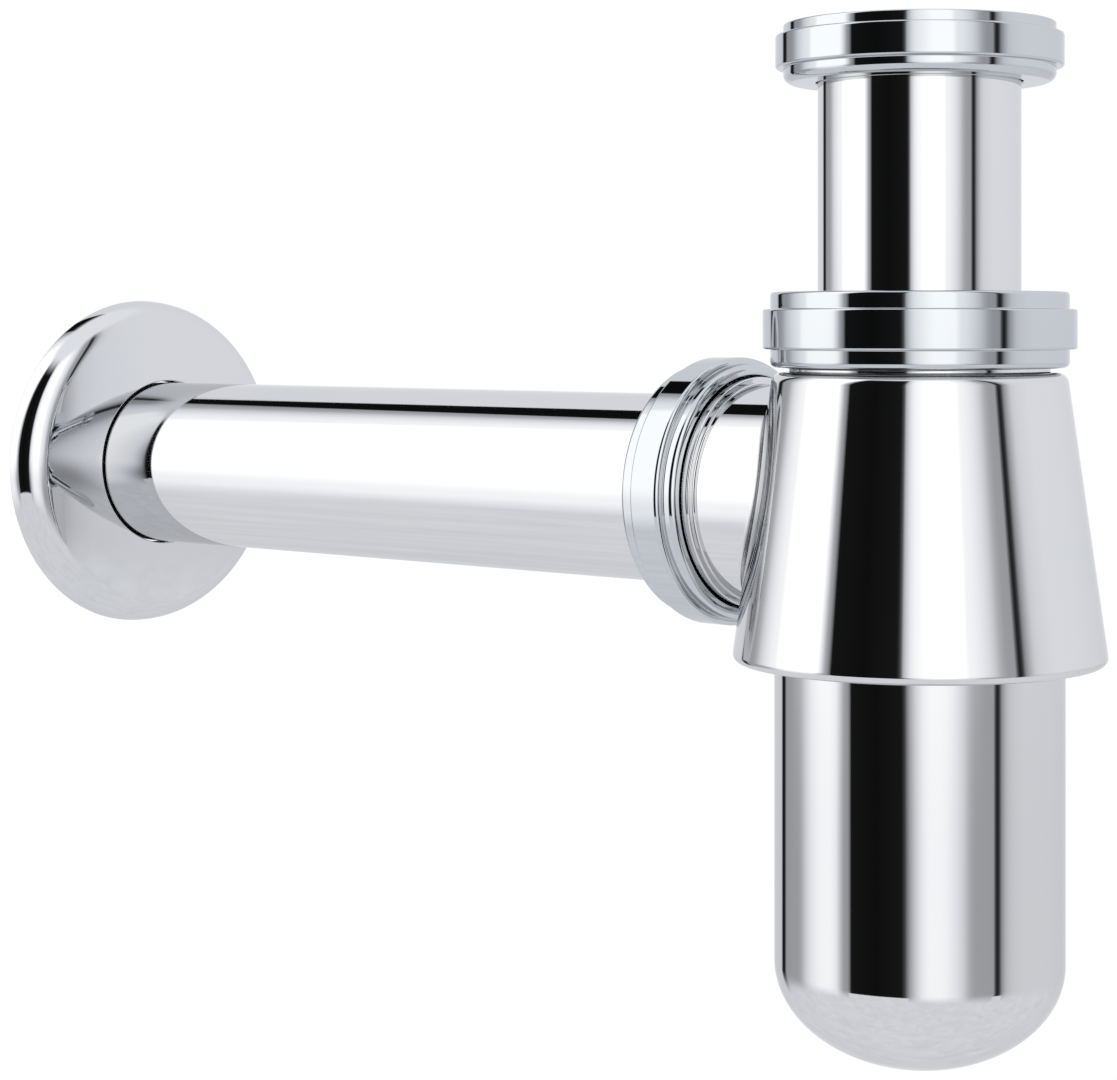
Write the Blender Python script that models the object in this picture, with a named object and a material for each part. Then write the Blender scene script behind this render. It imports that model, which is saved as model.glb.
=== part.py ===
"""Chromed bottle trap for a 1 1/4 inch wash-basin waste, with its wall tube and rosette.

Metres, +Z up. The origin is on the inlet axis, in the plane of the union nut's top face.
The inlet runs down -Z and the wall tube runs along -X. Every turned piece is a closed
profile swept round its own axis, and its object's origin lies on that axis.
"""

import math

import bmesh
import bpy

MM = 0.001

# ---- driving dimensions, in millimetres --------------------------------------------------

# tubes
TUBE_R = 16.0  # 32 mm tube, outside
TUBE_BORE_R = 15.0  # 1 mm wall
BORE_R = 16.3  # hole that a 32 mm tube slides through
GAP = 0.3  # clearance kept between pieces that touch

# inlet union nut
UNION_H = 9.25  # overall height
UNION_RIM_R = 21.45
UNION_BAND_R = 22.7
UNION_BAND_TOP = 1.7
UNION_BAND_END = 6.9
UNION_BORE_R = 20.2  # pitch radius of the 1 1/4 inch pipe thread
UNION_FLOOR = 7.1  # depth of the inner shoulder

# inlet slip ring, tube flange and flat gasket, stacked on the union nut's shoulder
SLIP_RING_R = 19.5
SLIP_RING_T = 0.6
FLANGE_R = 19.3
FLANGE_T = 0.9
GASKET_R = 19.3
GASKET_BORE_R = 15.2
GASKET_T = 1.8
INLET_TUBE_END = 105.0  # depth of the inlet tube's lower end

# slip nut on the body's neck
SLIP_TOP = 42.2
SLIP_END = 54.1
SLIP_RIM_R = 23.5
SLIP_BAND_R = 24.7
SLIP_BAND_TOP = 44.9
SLIP_BAND_END = 51.2
SLIP_THREAD_R = 21.85
LIP_T = 2.0  # thickness of a slip nut's inward lip
WASHER_T = 1.0
WASHER_R = 20.8

# neck of the body
NECK_R = 21.55
NECK_TOP = 47.2
NECK_MOUTH_R = 20.25
NECK_COUNTERBORE_R = 19.6
NECK_CHAMFER_END = 47.85
NECK_SEAT = 53.7
NECK_BORE_R = 17.8
SEAL_R = 19.95
SEAL_NOSE_R = 19.25
SEAL_TOP = 45.8
SEAL_END = 50.0

# cone of the body
CONE_TOP = 54.8
CONE_TOP_R = 23.15
CONE_END = 100.5
CONE_END_R = 29.6
CHAMBER_TOP = 57.4
CHAMBER_TOP_R = 20.8
CHAMBER_END_R = 24.6
CUP_BORE_R = 24.2
CUP_SEAT = 90.4
CUP_SEAT_R = 22.0

# dip tube and its O-ring
DIP_R = 17.5
DIP_BORE_R = 16.35
DIP_COLLAR_R = 19.3
DIP_COLLAR_T = 1.3
DIP_END = 138.1
O_RING_SECTION_R = 0.75

# cup and its flat seal
CUP_R = 22.85
CUP_WALL = 1.2
CUP_COLLAR_R = 23.85
CUP_COLLAR_END = 99.4
CUP_SEAL_T = 1.6
CUP_SEAL_R = 23.2
CUP_SEAL_BORE_R = 21.7
CUP_STRAIGHT_END = 147.6
CUP_DOME = 16.3

# outlet branch, distances measured from the inlet axis along -X
OUTLET_Z = -75.1
SPIGOT_R = 17.9
BRANCH_THREAD_R = 19.5
BRANCH_THREAD_START = 31.5
BRANCH_END = 39.2
BRANCH_MOUTH_R = 18.3
BRANCH_COUNTERBORE_R = 17.6
BRANCH_COUNTERBORE_END = 36.1
BRANCH_STOP = 29.0
PASSAGE_R = 13.0

# outlet slip nut
OUTLET_NUT_END = 33.0
OUTLET_NUT_REAR = 44.2
OUTLET_RIM_R = 21.15
OUTLET_BAND_R = 22.3
OUTLET_BAND_START = 35.4
OUTLET_BAND_END = 41.2
OUTLET_THREAD_R = 19.8
OUTLET_WASHER_R = 18.8

# wall tube, rosette and grip ring
WALL_TUBE_START = 31.5
WALL_TUBE_END = 211.0
ROSETTE_FACE = 183.4
# each arc: slope at its start and end in degrees (0 is square to the tube), length, steps
ROSETTE_ARCS = ((5.0, 14.0, 11.9, 3), (14.0, 76.0, 6.2, 5), (76.0, 86.0, 2.2, 1))
ROSETTE_SHEET = 0.9
GRIP_START = 185.0
GRIP_END = 188.1
GRIP_R = 19.1

SEGMENTS = 36
BODY_SEGMENTS = 40
RING_SEGMENTS = 32


# ---- helpers -----------------------------------------------------------------------------


def clear_scene():
    for obj in list(bpy.data.objects):
        bpy.data.objects.remove(obj, do_unlink=True)


def material(name, colour, roughness, metallic):
    made = bpy.data.materials.new(name)
    made.use_nodes = True
    shader = made.node_tree.nodes["Principled BSDF"]
    shader.inputs["Base Color"].default_value = (*colour, 1.0)
    shader.inputs["Roughness"].default_value = roughness
    shader.inputs["Metallic"].default_value = metallic
    return made


def turned(name, profile, mat, axis="Z", segments=SEGMENTS, cutter=False):
    """A closed solid turned from profile, a loop of (radius, distance) in millimetres.

    For axis Z the distance is the depth below the origin. For axis X it is the distance
    from the inlet axis towards the wall, and the solid lies on the outlet's axis.
    Points on the axis itself have radius 0.
    """
    mesh = bpy.data.meshes.new(name)
    bm = bmesh.new()
    reference = profile[0][1]
    rings = []
    for radius, distance in profile:
        along = (distance - reference) * MM
        if radius == 0:
            rings.append([bm.verts.new((0.0, 0.0, along))])
            continue
        ring = []
        for i in range(segments):
            turn = 2 * math.pi * i / segments
            ring.append(
                bm.verts.new(
                    (
                        radius * MM * math.cos(turn),
                        radius * MM * math.sin(turn),
                        along,
                    )
                )
            )
        rings.append(ring)
    for k, ring in enumerate(rings):
        after = rings[(k + 1) % len(rings)]
        if len(ring) == 1 and len(after) == 1:
            continue
        for i in range(segments):
            j = (i + 1) % segments
            if len(ring) == 1:
                corners = (ring[0], after[j], after[i])
            elif len(after) == 1:
                corners = (ring[i], ring[j], after[0])
            else:
                corners = (ring[i], ring[j], after[j], after[i])
            bm.faces.new(corners)
    bmesh.ops.recalc_face_normals(bm, faces=bm.faces)
    if bm.calc_volume(signed=True) < 0:
        bmesh.ops.reverse_faces(bm, faces=bm.faces)
    bm.to_mesh(mesh)
    bm.free()
    mesh.shade_smooth()
    mesh.set_sharp_from_angle(angle=math.radians(30))

    obj = bpy.data.objects.new(name, mesh)
    if mat is not None:
        mesh.materials.append(mat)
    bpy.context.scene.collection.objects.link(obj)
    if axis == "Z":
        obj.location = (0.0, 0.0, -reference * MM)
        obj.rotation_euler = (math.pi, 0.0, 0.0)
    else:
        obj.location = (-reference * MM, 0.0, OUTLET_Z * MM)
        obj.rotation_euler = (0.0, -math.pi / 2, 0.0)
    if cutter:
        obj.hide_render = True
        obj.display_type = "WIRE"
    return obj


def ring_profile(inner, outer, start, end):
    return [(inner, start), (outer, start), (outer, end), (inner, end)]


def combine(target, other, operation):
    step = target.modifiers.new(other.name, "BOOLEAN")
    step.operation = operation
    step.solver = "EXACT"
    step.object = other


clear_scene()

CHROME = {
    name: material(f"{name}_chrome", (0.83, 0.84, 0.86), 0.06, 1.0)
    for name in (
        "inlet_union_nut",
        "inlet_tube",
        "slip_nut",
        "trap_body",
        "cup",
        "outlet_nut",
        "wall_tube",
        "wall_rosette",
    )
}
RUBBER = {
    name: material(f"{name}_rubber", (0.03, 0.03, 0.032), 0.7, 0.0)
    for name in (
        "inlet_flat_gasket",
        "inlet_wedge_seal",
        "dip_tube_o_ring",
        "cup_seal",
        "outlet_wedge_seal",
        "rosette_grip_ring",
    )
}
PLASTIC = {
    name: material(f"{name}_plastic", (0.86, 0.86, 0.83), 0.45, 0.0)
    for name in (
        "inlet_slip_ring",
        "inlet_thrust_washer",
        "outlet_thrust_washer",
        "dip_tube",
    )
}

# ---- inlet union: nut, slip ring, flanged tube, flat gasket ------------------------------

turned(
    "inlet_union_nut",
    [
        (UNION_BORE_R, 0.0),
        (UNION_RIM_R - 0.4, 0.0),
        (UNION_RIM_R, 0.4),
        (UNION_RIM_R, UNION_BAND_TOP),
        (UNION_BAND_R, UNION_BAND_TOP),
        (UNION_BAND_R, UNION_BAND_END),
        (UNION_RIM_R, UNION_BAND_END),
        (UNION_RIM_R, UNION_H - 1.1),
        (UNION_RIM_R - 0.35, UNION_H - 0.32),
        (UNION_RIM_R - 1.1, UNION_H),
        (BORE_R, UNION_H),
        (BORE_R, UNION_FLOOR),
        (UNION_BORE_R, UNION_FLOOR),
    ],
    CHROME["inlet_union_nut"],
)

slip_ring_end = UNION_FLOOR - GAP
slip_ring_top = slip_ring_end - SLIP_RING_T
turned(
    "inlet_slip_ring",
    ring_profile(BORE_R + 0.1, SLIP_RING_R, slip_ring_top, slip_ring_end),
    PLASTIC["inlet_slip_ring"],
    segments=RING_SEGMENTS,
)

flange_end = slip_ring_top - GAP
flange_top = flange_end - FLANGE_T
turned(
    "inlet_tube",
    [
        (TUBE_BORE_R, flange_top),
        (FLANGE_R, flange_top),
        (FLANGE_R, flange_end),
        (TUBE_R, flange_end),
        (TUBE_R, INLET_TUBE_END),
        (TUBE_BORE_R, INLET_TUBE_END),
    ],
    CHROME["inlet_tube"],
)

gasket_end = flange_top - GAP
turned(
    "inlet_flat_gasket",
    ring_profile(GASKET_BORE_R, GASKET_R, gasket_end - GASKET_T, gasket_end),
    RUBBER["inlet_flat_gasket"],
    segments=RING_SEGMENTS,
)

# ---- slip joint on the neck --------------------------------------------------------------

turned(
    "slip_nut",
    [
        (BORE_R, SLIP_TOP),
        (SLIP_RIM_R - 0.6, SLIP_TOP),
        (SLIP_RIM_R, SLIP_TOP + 0.6),
        (SLIP_RIM_R, SLIP_BAND_TOP),
        (SLIP_BAND_R, SLIP_BAND_TOP),
        (SLIP_BAND_R, SLIP_BAND_END),
        (SLIP_RIM_R, SLIP_BAND_END),
        (SLIP_RIM_R, SLIP_END - 0.7),
        (SLIP_RIM_R - 0.7, SLIP_END),
        (SLIP_THREAD_R, SLIP_END),
        (SLIP_THREAD_R, SLIP_TOP + LIP_T),
        (BORE_R, SLIP_TOP + LIP_T),
    ],
    CHROME["slip_nut"],
)

washer_top = SLIP_TOP + LIP_T + GAP
turned(
    "inlet_thrust_washer",
    ring_profile(BORE_R + 0.1, WASHER_R, washer_top, washer_top + WASHER_T),
    PLASTIC["inlet_thrust_washer"],
    segments=RING_SEGMENTS,
)

turned(
    "inlet_wedge_seal",
    [
        (BORE_R, SEAL_TOP),
        (SEAL_R, SEAL_TOP),
        (SEAL_R, SEAL_TOP + 1.1),
        (SEAL_NOSE_R, SEAL_TOP + 1.1 + SEAL_R - SEAL_NOSE_R),
        (SEAL_NOSE_R, SEAL_END),
        (BORE_R, SEAL_END),
    ],
    RUBBER["inlet_wedge_seal"],
)

collar_top = SEAL_END + GAP
collar_end = collar_top + DIP_COLLAR_T
turned(
    "dip_tube",
    [
        (DIP_BORE_R, collar_top),
        (DIP_COLLAR_R, collar_top),
        (DIP_COLLAR_R, collar_end),
        (DIP_R, collar_end),
        (DIP_R, DIP_END),
        (DIP_BORE_R, DIP_END),
    ],
    PLASTIC["dip_tube"],
)

o_ring_r = (DIP_R + NECK_COUNTERBORE_R) / 2
o_ring_z = collar_end + GAP + O_RING_SECTION_R
turned(
    "dip_tube_o_ring",
    [
        (
            o_ring_r + O_RING_SECTION_R * math.cos(2 * math.pi * (k + 0.5) / 8),
            o_ring_z + O_RING_SECTION_R * math.sin(2 * math.pi * (k + 0.5) / 8),
        )
        for k in range(8)
    ],
    RUBBER["dip_tube_o_ring"],
    segments=RING_SEGMENTS,
)

# ---- body: neck, cone and outlet branch, one casting --------------------------------------

cone_rate = (CONE_END_R - CONE_TOP_R) / (CONE_END - CONE_TOP)
body = turned(
    "trap_body",
    [
        (0.0, NECK_TOP),
        (NECK_R, NECK_TOP),
        (NECK_R, CONE_TOP),
        (CONE_TOP_R - 1.0, CONE_TOP + 0.11),
        (CONE_TOP_R - 0.31, CONE_TOP + 0.56),
        (CONE_TOP_R + 0.25, CONE_TOP + 1.7),
        (CONE_END_R - 0.17, CONE_END - 1.2),
        (CONE_END_R - 0.44, CONE_END - 0.4),
        (CONE_END_R - 1.1, CONE_END),
        (0.0, CONE_END),
    ],
    CHROME["trap_body"],
    segments=BODY_SEGMENTS,
)

branch = turned(
    "branch_outer",
    [
        (0.0, BRANCH_END),
        (BRANCH_THREAD_R - 0.25, BRANCH_END),
        (BRANCH_THREAD_R, BRANCH_END - 0.25),
        (BRANCH_THREAD_R, BRANCH_THREAD_START),
        (SPIGOT_R, BRANCH_THREAD_START),
        (SPIGOT_R, 10.0),
        (0.0, 10.0),
    ],
    None,
    axis="X",
    cutter=True,
)

chamber = turned(
    "chamber_cutter",
    [
        (0.0, NECK_TOP - 1.0),
        (NECK_MOUTH_R, NECK_TOP - 1.0),
        (NECK_MOUTH_R, NECK_TOP),
        (NECK_COUNTERBORE_R, NECK_CHAMFER_END),
        (NECK_COUNTERBORE_R, NECK_SEAT),
        (NECK_BORE_R, NECK_SEAT),
        (NECK_BORE_R, CHAMBER_TOP),
        (CHAMBER_TOP_R, CHAMBER_TOP + 2.2),
        (CHAMBER_END_R, CUP_SEAT - 3.6),
        (CUP_SEAT_R, CUP_SEAT - 1.2),
        (CUP_SEAT_R, CUP_SEAT),
        (CUP_BORE_R, CUP_SEAT),
        (CUP_BORE_R, CONE_END + 1.0),
        (0.0, CONE_END + 1.0),
    ],
    None,
    segments=BODY_SEGMENTS,
    cutter=True,
)

branch_bore = turned(
    "branch_bore_cutter",
    [
        (0.0, BRANCH_END + 1.0),
        (BRANCH_MOUTH_R, BRANCH_END + 1.0),
        (BRANCH_MOUTH_R, BRANCH_END),
        (BRANCH_COUNTERBORE_R, BRANCH_END - BRANCH_MOUTH_R + BRANCH_COUNTERBORE_R),
        (BRANCH_COUNTERBORE_R, BRANCH_COUNTERBORE_END),
        (BORE_R + 0.1, BRANCH_COUNTERBORE_END),
        (BORE_R + 0.1, BRANCH_STOP),
        (PASSAGE_R, BRANCH_STOP),
        (PASSAGE_R, 15.0),
        (0.0, 15.0),
    ],
    None,
    axis="X",
    cutter=True,
)

combine(body, branch, "UNION")
combine(body, chamber, "DIFFERENCE")
combine(body, branch_bore, "DIFFERENCE")

# ---- cup and its seal ----------------------------------------------------------------------

seal_top = CUP_SEAT + GAP
turned(
    "cup_seal",
    ring_profile(CUP_SEAL_BORE_R, CUP_SEAL_R, seal_top, seal_top + CUP_SEAL_T),
    RUBBER["cup_seal"],
    segments=RING_SEGMENTS,
)

cup_top = seal_top + CUP_SEAL_T + GAP
DOME_STEPS = 8


def dome(radius, depth, first, last):
    """Points down a half-ellipse from the cup's straight wall to its lowest point."""
    points = []
    for k in range(first, last + 1):
        turn = math.pi / 2 * k / DOME_STEPS
        r = 0.0 if k == DOME_STEPS else radius * math.cos(turn)
        points.append((r, CUP_STRAIGHT_END + depth * math.sin(turn)))
    return points


turned(
    "cup",
    [
        (CUP_R - CUP_WALL, cup_top),
        (CUP_COLLAR_R, cup_top),
        (CUP_COLLAR_R, CUP_COLLAR_END),
        (CUP_R, CUP_COLLAR_END),
    ]
    + dome(CUP_R, CUP_DOME, 0, DOME_STEPS)
    + dome(CUP_R - CUP_WALL, CUP_DOME - CUP_WALL, 0, DOME_STEPS)[::-1],
    CHROME["cup"],
    segments=BODY_SEGMENTS,
)

# ---- slip joint on the outlet branch -------------------------------------------------------

turned(
    "outlet_nut",
    [
        (BORE_R, OUTLET_NUT_REAR),
        (OUTLET_RIM_R - 0.7, OUTLET_NUT_REAR),
        (OUTLET_RIM_R, OUTLET_NUT_REAR - 0.7),
        (OUTLET_RIM_R, OUTLET_BAND_END),
        (OUTLET_BAND_R, OUTLET_BAND_END),
        (OUTLET_BAND_R, OUTLET_BAND_START),
        (OUTLET_RIM_R, OUTLET_BAND_START),
        (OUTLET_RIM_R, OUTLET_NUT_END + 0.6),
        (OUTLET_RIM_R - 0.6, OUTLET_NUT_END),
        (OUTLET_THREAD_R, OUTLET_NUT_END),
        (OUTLET_THREAD_R, OUTLET_NUT_REAR - LIP_T),
        (BORE_R, OUTLET_NUT_REAR - LIP_T),
    ],
    CHROME["outlet_nut"],
    axis="X",
)

outlet_washer_rear = OUTLET_NUT_REAR - LIP_T - GAP
turned(
    "outlet_thrust_washer",
    ring_profile(
        BORE_R + 0.1,
        OUTLET_WASHER_R,
        outlet_washer_rear,
        outlet_washer_rear - WASHER_T,
    ),
    PLASTIC["outlet_thrust_washer"],
    axis="X",
    segments=RING_SEGMENTS,
)

seal_rear = outlet_washer_rear - WASHER_T - GAP
turned(
    "outlet_wedge_seal",
    [
        (BORE_R, seal_rear),
        (BRANCH_MOUTH_R - GAP, seal_rear),
        (BRANCH_MOUTH_R - GAP, seal_rear - 1.1),
        (BRANCH_COUNTERBORE_R - 0.35, seal_rear - 1.85),
        (BRANCH_COUNTERBORE_R - 0.35, BRANCH_COUNTERBORE_END + GAP),
        (BORE_R, BRANCH_COUNTERBORE_END + GAP),
    ],
    RUBBER["outlet_wedge_seal"],
    axis="X",
)

# ---- wall tube, grip ring and rosette ------------------------------------------------------

turned(
    "wall_tube",
    ring_profile(TUBE_BORE_R, TUBE_R, WALL_TUBE_START, WALL_TUBE_END),
    CHROME["wall_tube"],
    axis="X",
)

turned(
    "rosette_grip_ring",
    [
        (BORE_R, GRIP_START + 0.5),
        (BORE_R + 0.5, GRIP_START),
        (GRIP_R - 0.5, GRIP_START),
        (GRIP_R, GRIP_START + 0.5),
        (GRIP_R, GRIP_END - 0.5),
        (GRIP_R - 0.5, GRIP_END),
        (BORE_R + 0.5, GRIP_END),
        (BORE_R, GRIP_END - 0.5),
    ],
    RUBBER["rosette_grip_ring"],
    axis="X",
    segments=RING_SEGMENTS,
)


def rosette_skin(sheet):
    """The pressed plate from the tube hole out to its rim, as three arcs: a face that falls
    gently, a rolled edge and a side wall that spreads slightly. sheet is the distance in from
    the outer skin."""
    r, depth = BORE_R + 0.05, ROSETTE_FACE
    start = math.radians(ROSETTE_ARCS[0][0])
    points = [(r - sheet * math.sin(start), depth + sheet * math.cos(start))]
    for first, last, run, steps in ROSETTE_ARCS:
        start, end = math.radians(first), math.radians(last)
        bend = run / (end - start)
        for k in range(1, steps + 1):
            turn = start + (end - start) * k / steps
            points.append(
                (
                    r + bend * (math.sin(turn) - math.sin(start)) - sheet * math.sin(turn),
                    depth + bend * (math.cos(start) - math.cos(turn)) + sheet * math.cos(turn),
                )
            )
        r += bend * (math.sin(end) - math.sin(start))
        depth += bend * (math.cos(start) - math.cos(end))
    points[0] = (BORE_R + 0.05, points[0][1])
    points[-1] = (r - sheet, depth)
    return points


turned(
    "wall_rosette",
    rosette_skin(0.0) + rosette_skin(ROSETTE_SHEET)[::-1],
    CHROME["wall_rosette"],
    axis="X",
    segments=BODY_SEGMENTS,
)
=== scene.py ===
"""Chromed bottle trap: the fine surface of every piece, its materials, the studio and the
camera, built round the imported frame.

Lengths in the profiles are millimetres. A profile is a loop of (radius, distance): for the
upright pieces the distance is the depth below the origin, for the pieces on the outlet it
is the distance from the inlet axis towards the wall.
"""

import math

import bmesh
import bpy
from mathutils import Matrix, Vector


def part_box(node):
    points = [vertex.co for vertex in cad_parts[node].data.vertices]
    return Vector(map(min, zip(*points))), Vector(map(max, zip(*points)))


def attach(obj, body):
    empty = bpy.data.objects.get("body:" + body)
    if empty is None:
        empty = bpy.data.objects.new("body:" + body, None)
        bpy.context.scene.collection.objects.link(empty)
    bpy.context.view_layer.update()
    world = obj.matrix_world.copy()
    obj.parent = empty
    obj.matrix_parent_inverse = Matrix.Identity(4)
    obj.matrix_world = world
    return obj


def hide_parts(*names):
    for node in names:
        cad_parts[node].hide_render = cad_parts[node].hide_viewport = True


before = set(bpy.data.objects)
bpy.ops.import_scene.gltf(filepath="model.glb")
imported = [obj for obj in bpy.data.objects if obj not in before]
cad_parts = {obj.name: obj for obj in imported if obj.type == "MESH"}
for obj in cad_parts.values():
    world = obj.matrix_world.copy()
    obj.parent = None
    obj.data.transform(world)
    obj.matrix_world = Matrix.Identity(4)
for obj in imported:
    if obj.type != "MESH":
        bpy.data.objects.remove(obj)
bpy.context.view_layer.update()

MM = 0.001
PITCH = 2.309  # 1 1/4 inch pipe thread, 11 to the inch
ROUND = 192  # segments round a visible piece
SMALL = 128  # segments round a hidden ring

# the outlet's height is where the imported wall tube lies
tube_low, tube_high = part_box("wall_tube")
OUTLET_Z = (tube_low.z + tube_high.z) / 2 / MM


# ---- profiles ------------------------------------------------------------------------------


def corner(r, d, fillet=0.12, steps=4):
    """A corner of the profile, rounded by a fillet."""
    return {"kind": "corner", "r": r, "d": d, "fillet": fillet, "steps": steps}


def curve(points):
    """Points on a smooth curve, which need no rounding."""
    return [{"kind": "curve", "r": r, "d": d} for r, d in points]


def thread(root, depth, d0, d1, outside, lead=0.9, rows_per_pitch=14):
    """A right-hand screw thread cut into the profile between d0 and d1. Its root line is
    the plain radius, and the crest stands depth away from it: outwards on an outside
    thread and inwards on an inside one. The thread fades over lead at both ends."""
    count = max(6, int(abs(d1 - d0) / PITCH * rows_per_pitch))
    rows = []
    for k in range(count + 1):
        d = d0 + (d1 - d0) * k / count
        edge = min(abs(d - d0), abs(d1 - d))
        rows.append(
            {
                "kind": "thread",
                "r": root,
                "d": d,
                "depth": depth,
                "outside": outside,
                "fade": smooth(edge / lead),
                "slope": smooth_slope(edge / lead) / lead * (1 if abs(d - d0) < abs(d1 - d) else -1) * (1 if d1 > d0 else -1),
            }
        )
    return rows


def smooth(t):
    t = min(max(t, 0.0), 1.0)
    return t * t * (3 - 2 * t)


def smooth_slope(t):
    t = min(max(t, 0.0), 1.0)
    return 6 * t * (1 - t)


def thread_form(row, turn):
    """Radius of a thread row at this angle, with its slopes along the angle and along d."""
    phase = 2 * math.pi * (-row["d"] / PITCH) - turn
    wave = math.cos(phase)
    form = 0.5 + wave * (1.5 - 0.5 * wave * wave) / 2
    form_slope = (1.5 - 1.5 * wave * wave) / 2 * -math.sin(phase)  # by phase
    if row["outside"]:
        radius = row["r"] + row["depth"] * row["fade"] * form
        by_turn = row["depth"] * row["fade"] * form_slope * -1
        by_d = row["depth"] * (row["fade"] * form_slope * -2 * math.pi / PITCH + row["slope"] * form)
    else:
        radius = row["r"] - row["depth"] * row["fade"] * (1 - form)
        by_turn = row["depth"] * row["fade"] * form_slope * -1
        by_d = row["depth"] * (row["fade"] * form_slope * -2 * math.pi / PITCH - row["slope"] * (1 - form))
    return radius, by_turn, by_d


def unit(x, y):
    length = math.hypot(x, y) or 1.0
    return x / length, y / length


def expand(items):
    """The profile's rows, each with the outward normal of its surface."""
    flat = []
    for item in items:
        flat.extend(item if isinstance(item, list) else [item])
    n = len(flat)
    area = sum(
        flat[i]["r"] * flat[(i + 1) % n]["d"] - flat[(i + 1) % n]["r"] * flat[i]["d"]
        for i in range(n)
    )
    sign = 1.0 if area > 0 else -1.0

    def edge_normal(a, b):
        tr, td = unit(b["r"] - a["r"], b["d"] - a["d"])
        return sign * td, -sign * tr

    rows = []
    for i, item in enumerate(flat):
        before, after = flat[i - 1], flat[(i + 1) % n]
        na, nb = edge_normal(before, item), edge_normal(item, after)
        if item["kind"] == "thread":
            rows.append(dict(item))
            continue
        on_axis = item["r"] == 0
        if item["kind"] == "curve" or on_axis:
            if on_axis:
                off_axis = nb if before["r"] == 0 else na
                normal = (0.0, 1.0 if off_axis[1] > 0 else -1.0)
            elif before["kind"] == "curve" and after["kind"] == "curve":
                la = math.hypot(item["r"] - before["r"], item["d"] - before["d"])
                lb = math.hypot(item["r"] - after["r"], item["d"] - after["d"])
                normal = unit(na[0] * lb + nb[0] * la, na[1] * lb + nb[1] * la)
            else:
                # where a straight stretch runs into the curve it sets the direction
                straight, curved = (nb, na) if before["kind"] == "curve" else (na, nb)
                runs_in = straight[0] * curved[0] + straight[1] * curved[1] > 0.97
                normal = straight if runs_in else curved
            rows.append({"kind": "row", "r": item["r"], "d": item["d"], "n": normal})
            continue
        turn = math.atan2(na[0] * nb[1] - na[1] * nb[0], na[0] * nb[0] + na[1] * nb[1])
        if abs(turn) < math.radians(1.5) or item["fillet"] <= 0:
            rows.append({"kind": "row", "r": item["r"], "d": item["d"], "n": unit(na[0] + nb[0], na[1] + nb[1])})
            continue
        la = math.hypot(item["r"] - before["r"], item["d"] - before["d"])
        lb = math.hypot(item["r"] - after["r"], item["d"] - after["d"])
        half = math.tan(abs(turn) / 2)
        room_a = max(la * 0.49, la * 0.98 - before.get("fillet", 0.0))
        room_b = max(lb * 0.49, lb * 0.98 - after.get("fillet", 0.0))
        reach = min(item["fillet"] * half, room_a, room_b)
        radius = reach / half
        ua = unit(before["r"] - item["r"], before["d"] - item["d"])
        # the arc's centre lies off the incoming edge, on the side the profile turns to
        start = (item["r"] + ua[0] * reach, item["d"] + ua[1] * reach)
        side = -1.0 if (turn > 0) == (sign > 0) else 1.0
        centre = (start[0] + side * na[0] * radius, start[1] + side * na[1] * radius)
        steps = max(2, int(round(item["steps"] * abs(turn) / (math.pi / 2))))
        for k in range(steps + 1):
            a = turn * k / steps
            normal = (
                na[0] * math.cos(a) - na[1] * math.sin(a),
                na[0] * math.sin(a) + na[1] * math.cos(a),
            )
            rows.append(
                {
                    "kind": "row",
                    "r": centre[0] - side * normal[0] * radius,
                    "d": centre[1] - side * normal[1] * radius,
                    "n": normal,
                }
            )
    return rows


# ---- surfaces of revolution -----------------------------------------------------------------


def place(axis, r, d, turn):
    """Metres, for a point at this radius, distance and angle round the piece's axis."""
    c, s = math.cos(turn), math.sin(turn)
    if axis == "Z":
        return (r * c * MM, r * s * MM, -d * MM)
    return (-d * MM, r * c * MM, (OUTLET_Z + r * s) * MM)


def direct(axis, nr, nt, nd, turn):
    """The same for a direction given by its radial, tangential and lengthwise parts."""
    c, s = math.cos(turn), math.sin(turn)
    length = math.sqrt(nr * nr + nt * nt + nd * nd) or 1.0
    nr, nt, nd = nr / length, nt / length, nd / length
    if axis == "Z":
        return (nr * c - nt * s, nr * s + nt * c, -nd)
    return (-nd, nr * c - nt * s, nr * s + nt * c)


def row_point(axis, row, turn):
    """Place and normal of one row of the profile at one angle."""
    if row["kind"] == "thread":
        radius, by_turn, by_d = thread_form(row, turn)
        out = 1.0 if row["outside"] else -1.0
        return place(axis, radius, row["d"], turn), direct(
            axis, out, -out * by_turn / radius, -out * by_d, turn
        )
    return place(axis, row["r"], row["d"], turn), direct(axis, row["n"][0], 0.0, row["n"][1], turn)


def finish_mesh(name, points, normals, faces):
    """A closed smooth mesh that shades by the exact normals of its surface."""
    mesh = bpy.data.meshes.new(name)
    mesh.from_pydata(points, [], faces)
    bm = bmesh.new()
    bm.from_mesh(mesh)
    bmesh.ops.recalc_face_normals(bm, faces=bm.faces)
    if bm.calc_volume(signed=True) < 0:
        bmesh.ops.reverse_faces(bm, faces=bm.faces)
    bm.to_mesh(mesh)
    bm.free()
    mesh.shade_smooth()
    mesh.normals_split_custom_set_from_vertices(normals)
    obj = bpy.data.objects.new(name, mesh)
    bpy.context.scene.collection.objects.link(obj)
    return obj


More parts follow.
